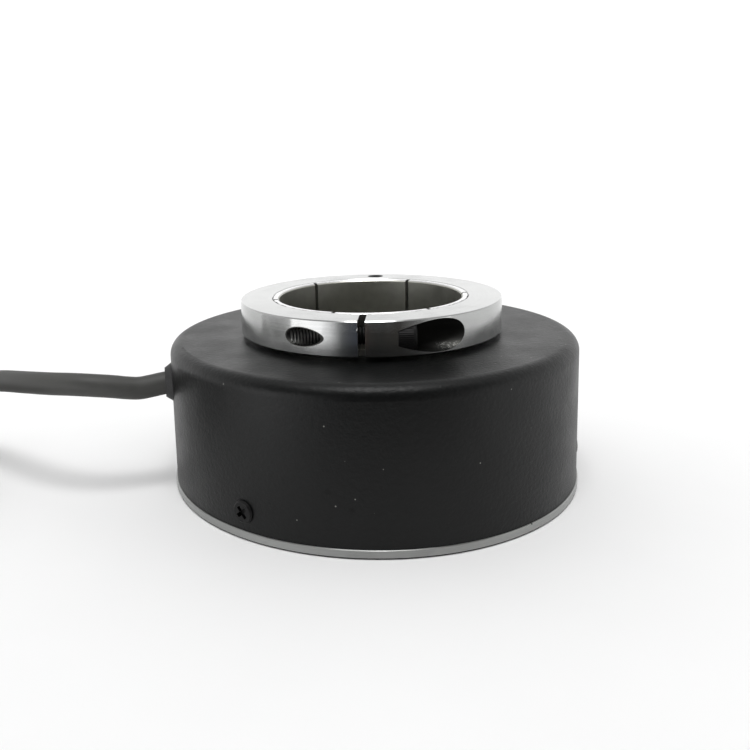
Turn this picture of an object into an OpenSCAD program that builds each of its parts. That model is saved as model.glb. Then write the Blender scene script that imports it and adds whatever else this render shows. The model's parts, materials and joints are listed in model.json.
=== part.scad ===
// Through-bore rotary encoder: a fixed housing with two thin ball bearings, and a
// hollow shaft with a glass code disc and a split clamp ring.
// Millimetres. +Z is the shaft axis, the base stands on z = 0, the cable leaves along -X.

/* [Housing] */
// Diameter of the base flange
flange_d = 100; // [99:0.5:104]
// Height of the bare rim that shows under the cover
rim_t = 2; // [1.6:0.2:2.2]
// Height of the cover's top face above the base
cover_top = 35.5; // [35.4:0.1:36.4]
// Wall thickness of the cover
cover_wall = 2.4; // [2:0.1:2.4]
// Rounding of the cover's top edge
cover_edge_r = 3; // [1:0.5:4]
// Angle of the first cover screw about the shaft
cover_screw_angle = 222; // [215:1:230]

/* [Shaft and clamp ring] */
// Bore of the hollow shaft
bore_d = 45; // [40:0.5:45]
// Saw cuts across the shaft's end, which let it close on its mate
saw_cuts = 3; // [2:1:4]
// Outer diameter of the clamp ring
ring_d = 64; // [64:0.5:66]
// Height of the clamp ring
ring_h = 8; // [8:0.5:10]
// Gap between the cover and the clamp ring
ring_gap = 1; // [0.6:0.2:1.4]
// Width of the saw cut through the clamp ring
slit_w = 1.6; // [1:0.2:2]
// Angle of the rotor about the shaft axis at rest
rotor_angle = -15; // [-180:5:180]

/* [Scanning] */
// Diameter of the glass code disc
disc_d = 78; // [76:0.5:78.5]
// Balls in each bearing
ball_count = 18; // [12:1:18]

/* [Cable] */
// Diameter of the cable's jacket
cable_d = 5.5; // [5:0.1:5.6]
// Diameter of the stored coil at the middle of its turns
coil_d = 64.8; // [60:0.2:66]
// Conductors in the cable
conductors = 6; // [4:1:6]

/* [Hidden] */
$fn = 96;

press_gap = 0.02;   // left between faces that are pressed together
screw_gap = 0.05;   // left round a screw's thread
pass_gap = 0.15;    // left round a screw that passes through a plain hole
cut = 1;            // how far a cutting tool runs past a face

// Metric screws: thread radius, head radius, head height
m25_r = 1.25;
m25_head_r = 2.5;
m25_head_h = 1.7;
m3_r = 1.5;
m3_pan_head_r = 2.7;
m3_pan_head_h = 1.6;
m4_r = 2;
m4_tap_r = 1.65;
m4_head_r = 3.5;
m4_head_h = 4;
m4_key_w = 3;

// Thin-section ball bearing, 50 x 65 x 7
bearing_bore_r = 25;
bearing_out_r = 32.5;
bearing_w = 7;
ball_r = 1.95;
ball_path_r = 28.75;
groove_r = ball_r + 0.08;
inner_land_r = 27.3;
outer_land_r = 30.2;
cage_in_r = 28.1;
cage_out_r = 29.4;
cage_h = 5.2;
pocket_r = ball_r + 0.15;
shield_t = 0.6;
shield_inset = 0.15;

// Radii of the housing
flange_r = flange_d / 2;
cover_r = flange_r - 0.3;
cover_in_r = cover_r - cover_wall;
cover_hole_r = 29;
cover_top_t = 2.5;
cover_ceiling = cover_top - cover_top_t;
spigot_r = cover_in_r - 0.15;
spigot_in_r = 42;
spigot_top = 11;
fixing_r = 44;
floor_t = 5;
hub_r = 35.5;
hub_top = 23.2;
base_bore_r = 28.6;
bearing_seat_r = 30.4;
rim_bevel = 0.35;
rim_top_bevel = 0.12;
cover_screw_z = 6.3;
cover_screw_proud = 0.7;
cover_screw_seat_x = cover_r + cover_screw_proud - m25_head_h;
mount_r = 39;
mount_angle = 42;
mount_hole_depth = 4;

// Heights of the stack on the shaft
shaft_z = 0.5;
lower_bearing_z = 2.6;
shoulder_t = 4;
upper_bearing_z = lower_bearing_z + bearing_w + shoulder_t;
upper_bearing_top = upper_bearing_z + bearing_w;
clip_t = 1.2;
clip_slack = 0.02;
hub_clip_z = upper_bearing_top + 0.85;
disc_z = 24.6;
disc_t = 1.5;
disc_bore_r = 26.5;
disc_hub_r = 28.4;
disc_seat_r = 33;
disc_seat_t = 1;
washer_t = 1.2;
disc_clip_z = disc_z + disc_t + washer_t + clip_slack;
shaft_clip_z = lower_bearing_z - clip_t - 2 * clip_slack;

// Shaft and clamp ring
bore_r = bore_d / 2;
shaft_r = bearing_bore_r - press_gap;
shoulder_r = 27;
clip_groove_r = 24.2;
clamp_seat_r = 24;
ring_z = cover_top + ring_gap;
ring_top = ring_z + ring_h;
ring_mid_z = ring_z + ring_h / 2;
ring_r = ring_d / 2;
ring_edge = 0.25;
slot_w = 0.9;
slot_z = 35;
slot_phase = 6.6;
saw_at = [0.4, -2.4];
slit_turn = -3.4;
screw_chord_y = -28.2;
slit_x = screw_chord_y * tan(-slit_turn);
screw_seat_x = 5.9;
screw_len = 16;
pocket_bore_r = 3.6;
pin_hole_r = 2.1;
pin_hole_at = 28.3;
pin_hole_angle = 86.4;
pin_hole_depth = 5;

// Circuit board and scanning head, on the +X side
board_z = 29.2;
board_t = 1.6;
board_in_r = 30.5;
board_out_r = cover_in_r - 0.5;
fixing_angle = 25;
standoff_af = 5;
stud_len = 5;
head_half_w = 5;
head_x = 34.5;
head_len = 5;
mask_t = 0.55;
scan_gap = 0.5;
scan_z = disc_z + disc_t + scan_gap;
disc_r = disc_d / 2;
led_x = 37.3;
led_r = 1.5;
led_top = 24;
led_len = 6;
board_notch_x = 41;
header_x = 40.3;
led_block = [35.9, 41.6, 4, 22.5];   // inner x, outer x, half width, top

// Cable outlet
outlet_z = 26.2;
cable_r = cable_d / 2;
cable_clear = 0.05;
jacket_end_x = -43.2;
gland_neck_r = 4;
gland_lip_r = 5;
gland_face_x = -(cover_r + 1.6);
gland_inner_x = -(cover_in_r - 1.5);
wire_r = 0.5;
header_angle = 205;

// Stored coil: five places for the turns, three on the table and two on top
tie_t = 0.5;
tie_gap = 0.1;
tie_w = 3;
tie_angles = [40, 150];
coil_at = [-141, 12];
coil_r = coil_d / 2;
turn_pitch = cable_d + 0.1;
coil_low_z = tie_t + cable_r;
coil_high_z = coil_low_z + 5.1;

// Where the cable runs between the housing and its coil
cable_route = [
    [jacket_end_x, 0, outlet_z], [-47.5, 0, 26.2], [-51.5, 0, 26], [-55, 0, 25.5],
    [-57.5, -0.2, 25.3], [-60.5, -0.5, 25.7], [-63.5, -0.7, 26.3], [-67, -0.6, 26.8],
    [-72.5, 0.7, 27.2], [-78.5, 3.9, 27], [-85.5, 10.2, 26.2], [-93, 19.3, 24.6],
    [-98.5, 26.5, 22.7], [-104.5, 33.6, 19.6], [-111.5, 39.2, 15.8],
    [-119.5, 43.5, 12.2], [-127.5, 46, 9.7], [-134.8, 46.9, 8.5]
];
tail_x = coil_at[0] - coil_r - turn_pitch;
tail_start_y = coil_at[1];
tail_end_y = -24;
sleeve_len = 14;
sleeve_r = 3.2;
sleeve_lap = 8;
lead_r = 0.65;
lead_len = 32;
lead_spread = 3.2;
leads_y = tail_end_y - press_gap;
lead_angles = [180, 120, 240, 300, 60, 0];
collar_r = 1.05;
collar_len = 3;
pin_r = 0.55;
pin_len = 5;

// Colours
bare_aluminium = [0.75, 0.76, 0.77];
black_paint = [0.13, 0.14, 0.14];
black_oxide = [0.1, 0.1, 0.11];
bearing_steel = [0.62, 0.63, 0.65];
cable_grey = [0.38, 0.38, 0.36];
board_green = [0.05, 0.32, 0.16];
lead_colours = ["red", "black", "green", "white", "yellow", "gray"];

// ---- Shared shapes ----

// A ring of rectangular section between two heights
module ring(in_r, out_r, z0, z1) {
    translate([0, 0, z0]) difference() {
        cylinder(r = out_r, h = z1 - z0);
        translate([0, 0, -cut]) cylinder(r = in_r, h = z1 - z0 + 2 * cut);
    }
}

// Copies spaced evenly about the shaft axis
module around(count, first = 0) {
    for (i = [0:count - 1]) rotate([0, 0, first + i * 360 / count]) children();
}

// A cylinder or cone along +X that starts at x
module bar_x(x, r, len, end_r = undef) {
    translate([x, 0, 0]) rotate([0, 90, 0])
        cylinder(r1 = r, r2 = is_undef(end_r) ? r : end_r, h = len);
}

// A torus about the shaft axis
module torus(path_r, r, z) {
    translate([0, 0, z]) rotate_extrude() translate([path_r, 0]) circle(r = r);
}

function unit(v) = v / norm(v);
function last(list) = list[len(list) - 1];
function tangent(p, i) = unit(p[min(i + 1, len(p) - 1)] - p[max(i - 1, 0)]);
function mix(a, b, t) = a + (b - a) * t;
function ease(t) = t * t * (3 - 2 * t);
function polar(r, a, z) = [r * cos(a), r * sin(a), z];

// The points of one cross-section of a swept tube
function section(p, i, r, sides) = let (
    t = tangent(p, i),
    s = unit(cross(t, [0, 0, 1])),
    u = cross(s, t)
) [for (k = [0:sides - 1]) p[i] + r * (cos(360 * k / sides) * s + sin(360 * k / sides) * u)];

// A solid tube swept along a list of points
module sweep(path, r, sides) {
    last = len(path) - 1;
    points = [for (i = [0:last]) each section(path, i, r, sides)];
    walls = [for (i = [0:last - 1]) for (k = [0:sides - 1])
        [i * sides + k, (i + 1) * sides + k,
         (i + 1) * sides + (k + 1) % sides, i * sides + (k + 1) % sides]];
    start_cap = [for (k = [0:sides - 1]) k];
    end_cap = [for (k = [sides - 1:-1:0]) last * sides + k];
    polyhedron(points, concat(walls, [start_cap, end_cap]));
}

// A flat retaining ring with a gap and two plier lugs on the lug_r circle
module retaining_ring(in_r, out_r, lug_r, z) {
    gap_deg = 14;
    lug_size = 1.4;
    lug_hole_r = 0.7;
    lug_deg = gap_deg / 2 + 2;
    translate([0, 0, z]) difference() {
        union() {
            rotate([0, 0, gap_deg / 2]) rotate_extrude(angle = 360 - gap_deg)
                translate([in_r, 0]) square([out_r - in_r, clip_t]);
            for (s = [-1, 1]) rotate([0, 0, s * lug_deg]) translate([lug_r, 0, 0])
                cylinder(r = lug_size, h = clip_t);
        }
        for (s = [-1, 1]) rotate([0, 0, s * lug_deg]) translate([lug_r, 0, -cut])
            cylinder(r = lug_hole_r, h = clip_t + 2 * cut);
    }
}

// ---- Bearing parts, each for a bearing whose lower face is at z ----

module bearing_outer(z) {
    color(bearing_steel) difference() {
        ring(outer_land_r, bearing_out_r - press_gap, z, z + bearing_w);
        torus(ball_path_r, groove_r, z + bearing_w / 2);
    }
}

module bearing_inner(z) {
    color(bearing_steel) difference() {
        ring(bearing_bore_r, inner_land_r, z, z + bearing_w);
        torus(ball_path_r, groove_r, z + bearing_w / 2);
    }
}

module bearing_balls(z) {
    color("silver") around(ball_count)
        translate([ball_path_r, 0, z + bearing_w / 2]) sphere(r = ball_r);
}

module bearing_cage(z) {
    mid = z + bearing_w / 2;
    color("goldenrod") difference() {
        ring(cage_in_r, cage_out_r, mid - cage_h / 2, mid + cage_h / 2);
        translate([0, 0, mid]) around(ball_count)
            bar_x(cage_in_r - cut, pocket_r, cage_out_r - cage_in_r + 2 * cut);
    }
}

module bearing_shields(z) {
    color("dimgray") for (z0 = [z + shield_inset, z + bearing_w - shield_inset - shield_t])
        ring(inner_land_r + 0.1, outer_land_r - press_gap, z0, z0 + shield_t);
}

// ---- Housing ----

module base_flange() {
    groove_z = spigot_top - 2.7;
    groove_h = 1.6;
    groove_floor = spigot_r - 1.3;
    tap_z = spigot_top - stud_len - 0.5;
    color(bare_aluminium) difference() {
        rotate_extrude() polygon([
            [base_bore_r, 0], [flange_r - rim_bevel, 0], [flange_r, rim_bevel],
            [flange_r, rim_t - rim_top_bevel], [flange_r - rim_top_bevel, rim_t],
            [spigot_r, rim_t],
            [spigot_r, groove_z], [groove_floor, groove_z],
            [groove_floor, groove_z + groove_h], [spigot_r, groove_z + groove_h],
            [spigot_r, spigot_top - 0.4], [spigot_r - 0.4, spigot_top],
            [spigot_in_r, spigot_top], [spigot_in_r, floor_t], [hub_r, floor_t],
            [hub_r, hub_top], [bearing_out_r, hub_top],
            [bearing_out_r, hub_clip_z + clip_t + clip_slack],
            [bearing_out_r + 1, hub_clip_z + clip_t + clip_slack],
            [bearing_out_r + 1, hub_clip_z - clip_slack], [bearing_out_r, hub_clip_z - clip_slack],
            [bearing_out_r, lower_bearing_z], [bearing_seat_r, lower_bearing_z],
            [bearing_seat_r, clip_t], [base_bore_r, clip_t]
        ]);
        around(3, cover_screw_angle) translate([0, 0, cover_screw_z])
            bar_x(spigot_in_r - cut, m25_r, spigot_r - spigot_in_r + 2 * cut);
        around(3, fixing_angle) translate([fixing_r, 0, tap_z])
            cylinder(r = m3_r, h = spigot_top - tap_z + cut);
        around(3, mount_angle) translate([mount_r, 0, -cut])
            cylinder(r = m4_tap_r, h = mount_hole_depth + cut);
    }
}

module housing_cover() {
    color(black_paint) difference() {
        union() {
            translate([0, 0, rim_t]) cylinder(r = cover_r, h = cover_top - cover_edge_r - rim_t);
            translate([0, 0, rim_t]) cylinder(r = cover_r - cover_edge_r, h = cover_top - rim_t);
            torus(cover_r - cover_edge_r, cover_edge_r, cover_top - cover_edge_r);
        }
        translate([0, 0, rim_t - cut]) cylinder(r = cover_in_r, h = cover_ceiling - rim_t + cut);
        translate([0, 0, cover_ceiling - cut]) cylinder(r = cover_hole_r, h = cover_top_t + 2 * cut);
        translate([0, 0, outlet_z])
            bar_x(-cover_r - cut, gland_neck_r + cable_clear, cover_wall + 3 * cut);
        around(3, cover_screw_angle) translate([0, 0, cover_screw_z]) {
            bar_x(cover_in_r - cut, m25_r + pass_gap, cover_wall + 2 * cut);
            bar_x(cover_screw_seat_x, m25_head_r + screw_gap, m25_head_h + cut);
        }
    }
}

module cover_screws() {
    screw_l = 6;
    head_edge = 0.35;
    cross_w = 0.9;
    cross_len = 3;
    cross_depth = 1;
    top_x = cover_screw_seat_x + m25_head_h;
    color(black_oxide) around(3, cover_screw_angle) translate([0, 0, cover_screw_z]) difference() {
        union() {
            bar_x(cover_screw_seat_x - screw_l, m25_r - screw_gap, screw_l + cut);
            bar_x(cover_screw_seat_x + press_gap, m25_head_r, m25_head_h - head_edge - press_gap);
            bar_x(top_x - head_edge, m25_head_r, head_edge, m25_head_r - head_edge);
        }
        for (turn = [40, 130])
            translate([top_x - cross_depth, 0, 0]) rotate([turn, 0, 0])
                translate([0, -cross_len / 2, -cross_w / 2]) cube([cross_depth + cut, cross_len, cross_w]);
    }
}

module cover_seal() {
    seal_r = 0.6;
    color("black") torus(cover_in_r - seal_r - press_gap, seal_r, spigot_top - 1.9);
}

module bearing_spacer() {
    color(bare_aluminium) ring(outer_land_r + 0.4, bearing_out_r - press_gap,
        lower_bearing_z + bearing_w + press_gap, upper_bearing_z - press_gap);
}

// Wave washer that presses the upper bearing down
module preload_spring() {
    waves = 4;
    steps = 64;
    rise = 0.16;
    spring_t = 0.35;
    z0 = upper_bearing_top + rise + press_gap;
    radii = [outer_land_r + 0.6, bearing_out_r - 0.2];
    function wave_z(i) = z0 + rise * sin(360 * waves * i / steps);
    points = [for (i = [0:steps - 1]) let (a = 360 * i / steps, z = wave_z(i))
        each [polar(radii[0], a, z), polar(radii[1], a, z),
              polar(radii[1], a, z + spring_t), polar(radii[0], a, z + spring_t)]];
    faces = [for (i = [0:steps - 1]) let (j = (i + 1) % steps) for (k = [0:3])
        [4 * i + k, 4 * i + (k + 1) % 4, 4 * j + (k + 1) % 4, 4 * j + k]];
    color("silver") polyhedron(points, faces);
}

module hub_retaining_ring() {
    color(black_oxide) rotate([0, 0, 100])
        retaining_ring(outer_land_r + 0.6, bearing_out_r + 0.9, outer_land_r + 1.4, hub_clip_z);
}

module shaft_seal() {
    lip_r = shaft_r + 0.09;
    z0 = cover_ceiling + 0.2;
    z1 = cover_top - 0.2;
    body_r = cover_hole_r - press_gap;
    color("black") rotate_extrude() polygon([
        [lip_r + 1.4, z0], [body_r, z0], [body_r, z1], [lip_r, z1],
        [lip_r, z1 - 0.5], [lip_r + 1.4, z1 - 1.1]
    ]);
}

// ---- Rotor ----

module hollow_shaft() {
    end_bevel = 0.5;
    color([0.5, 0.51, 0.5]) rotate([0, 0, rotor_angle]) difference() {
        rotate_extrude() polygon([
            [bore_r + end_bevel, shaft_z], [shaft_r - 0.3, shaft_z], [shaft_r, shaft_z + 0.3],
            [shaft_r, shaft_clip_z - clip_slack], [clip_groove_r, shaft_clip_z - clip_slack],
            [clip_groove_r, shaft_clip_z + clip_t + clip_slack],
            [shaft_r, shaft_clip_z + clip_t + clip_slack],
            [shaft_r, lower_bearing_z + bearing_w + press_gap],
            [shoulder_r, lower_bearing_z + bearing_w + press_gap],
            [shoulder_r, upper_bearing_z - press_gap], [shaft_r, upper_bearing_z - press_gap],
            [shaft_r, disc_clip_z - clip_slack], [clip_groove_r, disc_clip_z - clip_slack],
            [clip_groove_r, disc_clip_z + clip_t + clip_slack],
            [shaft_r, disc_clip_z + clip_t + clip_slack],
            [shaft_r, ring_z - press_gap], [clamp_seat_r, ring_z - press_gap],
            [clamp_seat_r, ring_top - 0.2], [clamp_seat_r - 0.2, ring_top],
            [bore_r + end_bevel, ring_top], [bore_r, ring_top - end_bevel],
            [bore_r, shaft_z + end_bevel]
        ]);
        for (i = [0:saw_cuts - 1])
            translate([saw_at[0], saw_at[1], slot_z]) rotate([0, 0, slot_phase + 180 * i / saw_cuts])
                translate([-ring_r, -slot_w / 2, 0])
                cube([2 * ring_r, slot_w, ring_top - slot_z + cut]);
    }
}

module shaft_retaining_ring() {
    color(black_oxide) rotate([0, 0, rotor_angle])
        retaining_ring(clip_groove_r + press_gap, clip_groove_r + 3, clip_groove_r + 2, shaft_clip_z);
}

module clamp_ring() {
    seat_r = clamp_seat_r + press_gap;
    tap_mouth = -ring_r - cut;
    color(bare_aluminium) rotate([0, 0, rotor_angle]) difference() {
        rotate_extrude() polygon([
            [seat_r + ring_edge, ring_z], [ring_r - ring_edge, ring_z], [ring_r, ring_z + ring_edge],
            [ring_r, ring_top - ring_edge], [ring_r - ring_edge, ring_top],
            [seat_r + ring_edge, ring_top], [seat_r, ring_top - ring_edge],
            [seat_r, ring_z + ring_edge]
        ]);
        rotate([0, 0, slit_turn]) translate([-slit_w / 2, -ring_r - cut, ring_z - cut])
            cube([slit_w, ring_r - clamp_seat_r + 4 * cut, ring_h + 2 * cut]);
        translate([0, screw_chord_y, ring_mid_z]) {
            bar_x(tap_mouth, m4_r, -tap_mouth + slit_x);
            bar_x(slit_x, m4_r + pass_gap, screw_seat_x - slit_x + cut);
            bar_x(screw_seat_x, pocket_bore_r, ring_r);
        }
        rotate([0, 0, pin_hole_angle]) translate([pin_hole_at, 0, ring_top - pin_hole_depth])
            cylinder(r = pin_hole_r, h = pin_hole_depth + cut);
    }
}

module clamp_screw() {
    key_depth = 2;
    color(black_oxide) rotate([0, 0, rotor_angle]) translate([0, screw_chord_y, ring_mid_z])
        difference() {
            union() {
                bar_x(screw_seat_x + press_gap, m4_head_r, m4_head_h - 0.3);
                bar_x(screw_seat_x + m4_head_h - 0.3, m4_head_r, 0.3, m4_head_r - 0.3);
                bar_x(screw_seat_x - screw_len, m4_r - screw_gap, screw_len + cut);
            }
            translate([screw_seat_x + m4_head_h - key_depth, 0, 0]) rotate([0, 90, 0])
                cylinder(r = m4_key_w / 2 / cos(30), h = key_depth + cut, $fn = 6);
        }
}

module disc_hub() {
    color(bare_aluminium) rotate_extrude() polygon([
        [bearing_bore_r, upper_bearing_top + press_gap], [disc_hub_r, upper_bearing_top + press_gap],
        [disc_hub_r, disc_z - disc_seat_t], [disc_seat_r, disc_z - disc_seat_t],
        [disc_seat_r, disc_z], [disc_bore_r - press_gap, disc_z],
        [disc_bore_r - press_gap, disc_z + disc_t - press_gap],
        [bearing_bore_r, disc_z + disc_t - press_gap]
    ]);
}

module code_disc() {
    color([0.7, 0.85, 0.9, 0.6]) ring(disc_bore_r, disc_r, disc_z + press_gap, disc_z + disc_t);
}

module disc_washer() {
    color(bare_aluminium) ring(bearing_bore_r, disc_seat_r,
        disc_z + disc_t + press_gap, disc_z + disc_t + washer_t);
}

module disc_retaining_ring() {
    color(black_oxide) rotate([0, 0, rotor_angle + 180])
        retaining_ring(clip_groove_r + press_gap, clip_groove_r + 3, clip_groove_r + 2, disc_clip_z);
}

// ---- Electronics ----

module board_standoffs() {
    body_h = board_z - spigot_top - 2 * press_gap;
    color("gold") around(3, fixing_angle) translate([fixing_r, 0, spigot_top + press_gap]) difference() {
        union() {
            cylinder(r = standoff_af / 2 / cos(30), h = body_h, $fn = 6);
            translate([0, 0, -stud_len]) cylinder(r = m3_r - screw_gap, h = stud_len + cut);
        }
        translate([0, 0, body_h - stud_len - cut]) cylinder(r = m3_r, h = stud_len + 2 * cut);
    }
}

module circuit_board() {
    notch_half = 7;
    color(board_green) difference() {
        ring(board_in_r, board_out_r, board_z, board_z + board_t);
        translate([-board_out_r - cut, -notch_half, board_z - cut])
            cube([board_out_r + cut - board_notch_x, 2 * notch_half, board_t + 2 * cut]);
        around(3, fixing_angle) translate([fixing_r, 0, board_z - cut])
            cylinder(r = m3_r + pass_gap, h = board_t + 2 * cut);
    }
}

module board_screws() {
    slot = [4, 0.7, 0.8];
    head_z = board_z + board_t + press_gap;
    color("silver") around(3, fixing_angle) translate([fixing_r, 0, head_z]) difference() {
        union() {
            cylinder(r = m3_pan_head_r, h = m3_pan_head_h);
            translate([0, 0, -stud_len]) cylinder(r = m3_r - screw_gap, h = stud_len + cut);
        }
        translate([-slot[0] / 2, -slot[1] / 2, m3_pan_head_h - slot[2]]) cube(slot + [0, 0, cut]);
    }
}

module board_chips() {
    // Each package: angle, radius of its middle, length, width, height
    packages = [[60, 38, 10, 6, 1.5], [95, 38, 5, 4, 1.4], [118, 38, 5, 4, 1.4],
                [240, 38, 9, 9, 1.4], [290, 38, 6, 5, 1.4], [320, 38, 3, 2.5, 1]];
    color([0.08, 0.08, 0.09]) for (p = packages) rotate([0, 0, p[0]])
        translate([p[1] - p[3] / 2, -p[2] / 2, board_z + board_t + press_gap]) cube([p[3], p[2], p[4]]);
}

module detector_array() {
    color([0.12, 0.12, 0.14])
        translate([head_x, -head_half_w, scan_z + mask_t + press_gap])
        cube([head_len, 2 * head_half_w, board_z - scan_z - mask_t - 2 * press_gap]);
}

module scanning_mask() {
    color([0.6, 0.75, 0.8, 0.6]) translate([head_x, -head_half_w, scan_z])
        cube([head_len, 2 * head_half_w, mask_t]);
}

module led_holder() {
    color([0.15, 0.15, 0.16]) difference() {
        translate([led_block[0], -led_block[2], floor_t + press_gap])
            cube([led_block[1] - led_block[0], 2 * led_block[2], led_block[3] - floor_t]);
        translate([led_x, 0, led_top - led_len]) cylinder(r = led_r + screw_gap, h = led_len);
    }
}

module emitter_led() {
    dome_z = led_top - led_r;
    color([0.8, 0.3, 0.3, 0.8]) translate([led_x, 0, 0]) {
        translate([0, 0, led_top - led_len + press_gap])
            cylinder(r = led_r, h = dome_z - led_top + led_len - press_gap);
        translate([0, 0, dome_z]) sphere(r = led_r);
    }
}

module wire_header() {
    size = [4, 12, 5];
    color("ivory") rotate([0, 0, header_angle])
        translate([header_x, -size[1] / 2, board_z - size[2] - press_gap]) cube(size);
}

// Six cores that bend out of the jacket and run round to the header, in two columns of three
module signal_wires() {
    bend_x = jacket_end_x + 0.2;
    bends = [1.4, 2.8];
    columns = [-0.7, 0.7];
    rows = [-1.3, 0, 1.3];
    end_angle = header_angle - 8.6;
    color("firebrick") for (i = [0, 1]) for (dz = rows) {
        z = outlet_z + dz;
        turn_y = columns[i] - bends[i];
        run_r = norm([bend_x + bends[i], turn_y]);
        run_start = 180 - asin(turn_y / run_r);
        bend = [for (a = [0:30:90])
            [bend_x + bends[i] * sin(a), turn_y + bends[i] * cos(a), z]];
        run = [for (a = [run_start + 3:3:end_angle]) polar(run_r, a, z)];
        sweep(concat([[jacket_end_x + press_gap, columns[i], z]], bend, run), wire_r, 6);
    }
}

module cable_anchor() {
    band = [2, 4, 2.6];   // width along the cable, and the lock's width and height
    band_t = 0.9;
    band_x = jacket_end_x - 0.3 - band[0];
    color("white") translate([0, 0, outlet_z]) difference() {
        union() {
            bar_x(band_x, cable_r + band_t, band[0]);
            translate([band_x, -band[1] / 2, cable_r]) cube(band);
        }
        bar_x(band_x - cut, cable_r + cable_clear, band[0] + 2 * cut);
    }
}

// ---- Cable ----

module cable_gland() {
    lip_r = 4.6;
    lip_tip_r = cable_r + 0.75;
    lip_t = -cover_r - gland_face_x;
    inner_face_x = 0.15 - cover_in_r;
    color("black") translate([0, 0, outlet_z]) difference() {
        union() {
            bar_x(gland_face_x, lip_tip_r, lip_t, lip_r);
            bar_x(-cover_r, lip_r, 0.3);
            bar_x(-cover_r, gland_neck_r, cover_wall + cut);
            bar_x(inner_face_x, gland_lip_r, gland_inner_x - inner_face_x);
        }
        bar_x(gland_face_x - cut, cable_r + cable_clear, gland_inner_x - gland_face_x + 2 * cut);
        difference() {
            translate([0, 0, -gland_lip_r]) ring(cover_in_r, cover_r, 0, 2 * gland_lip_r);
            bar_x(-flange_r, gland_neck_r, cover_wall + 2 * cut);
        }
    }
}

module cable_lead() {
    color(cable_grey) sweep(cable_route, cable_r, 10);
}

// The section of the coil, a little larger than its five turns together
function coil_outline() = let (
    side = 1.5 * turn_pitch,
    bulge = 1.2,
    shoulder = 1.4,
    z0 = coil_low_z - cable_r,
    z1 = coil_high_z + cable_r
) [[coil_r - side, z0], [coil_r + side, z0], [coil_r + side + bulge, coil_low_z],
   [coil_r + turn_pitch, z1 - shoulder], [coil_r + turn_pitch / 2, z1],
   [coil_r - turn_pitch / 2, z1], [coil_r - turn_pitch, z1 - shoulder],
   [coil_r - side - bulge, coil_low_z]];

module cable_coil() {
    color(cable_grey) translate([coil_at[0], coil_at[1], 0])
        rotate_extrude() polygon(coil_outline());
}

module cable_tail() {
    steps = 4;
    color(cable_grey) sweep([for (i = [0:steps])
        [tail_x, mix(tail_start_y, tail_end_y, i / steps), coil_low_z]], cable_r, 10);
}

module coil_ties() {
    color("black") translate([coil_at[0], coil_at[1], 0])
        for (a = tie_angles) rotate([90, 0, a]) translate([0, 0, -tie_w / 2])
            linear_extrude(tie_w) difference() {
                offset(delta = tie_t) polygon(coil_outline());
                offset(delta = tie_gap) polygon(coil_outline());
            }
}

module end_sleeve() {
    y0 = tail_end_y + sleeve_lap;
    taper = 4;
    end_r = 2.7;
    end_hole_r = 2.3;
    color([0.07, 0.07, 0.07]) translate([tail_x, y0, coil_low_z]) rotate([90, 0, 0]) difference() {
        union() {
            cylinder(r = sleeve_r, h = sleeve_len - taper);
            translate([0, 0, sleeve_len - taper]) cylinder(r1 = sleeve_r, r2 = end_r, h = taper);
        }
        translate([0, 0, -cut]) cylinder(r = cable_r + cable_clear, h = sleeve_lap + cut);
        translate([0, 0, sleeve_lap - press_gap]) cylinder(r = end_hole_r, h = sleeve_len);
    }
}

// The route of one conductor: straight out of the jacket, then fanned out and down to the table
function lead_route(i) = let (
    circle_r = 1.5,
    straight = 4,
    fan_start = 6,
    steps = 7,
    a = lead_angles[i],
    x0 = tail_x + circle_r * cos(a),
    z0 = coil_low_z + circle_r * sin(a),
    x1 = tail_x + (i - (conductors - 1) / 2) * lead_spread,
    z1 = collar_r + press_gap
) concat(
    [[x0, leads_y, z0], [x0, leads_y - straight, z0]],
    [for (s = [1:steps]) let (t = s / steps) [mix(x0, x1, ease(t)),
        leads_y - mix(fan_start, lead_len, t), mix(z0, z1, ease(min(1, 1.6 * t)))]]
);

module lead_wires() {
    for (i = [0:conductors - 1]) color(lead_colours[i]) sweep(lead_route(i), lead_r, 6);
}

module lead_ferrules() {
    color("white") for (i = [0:conductors - 1])
        translate(last(lead_route(i)) - [0, press_gap, 0]) rotate([90, 0, 0]) {
            cylinder(r = collar_r, h = collar_len, $fn = 24);
            cylinder(r = pin_r, h = collar_len + pin_len, $fn = 24);
        }
}

// ---- Nodes ----

base_flange();
housing_cover();
cover_screws();
cover_seal();
bearing_outer(lower_bearing_z);  // lower_bearing_outer
bearing_inner(lower_bearing_z);  // lower_bearing_inner
bearing_balls(lower_bearing_z);  // lower_bearing_balls
bearing_cage(lower_bearing_z);  // lower_bearing_cage
bearing_shields(lower_bearing_z);  // lower_bearing_shields
bearing_outer(upper_bearing_z);  // upper_bearing_outer
bearing_inner(upper_bearing_z);  // upper_bearing_inner
bearing_balls(upper_bearing_z);  // upper_bearing_balls
bearing_cage(upper_bearing_z);  // upper_bearing_cage
bearing_shields(upper_bearing_z);  // upper_bearing_shields
bearing_spacer();
preload_spring();
hub_retaining_ring();
shaft_seal();
hollow_shaft();
shaft_retaining_ring();
clamp_ring();
clamp_screw();
disc_hub();
code_disc();
disc_washer();
disc_retaining_ring();
board_standoffs();
circuit_board();
board_screws();
board_chips();
detector_array();
scanning_mask();
led_holder();
emitter_led();
wire_header();
signal_wires();
cable_anchor();
cable_gland();
cable_lead();
cable_coil();
cable_tail();
coil_ties();
end_sleeve();
lead_wires();
lead_ferrules();
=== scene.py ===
"""Looks of a through-bore rotary encoder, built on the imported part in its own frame, in metres.

The housing and the cable ride on "stator"; the clamp ring, its screw and the shaft ride on "rotor".
"""
import json
import random
from math import ceil, cos, hypot, pi, radians, sin, tau

import bpy
from mathutils import Matrix, Vector


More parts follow.
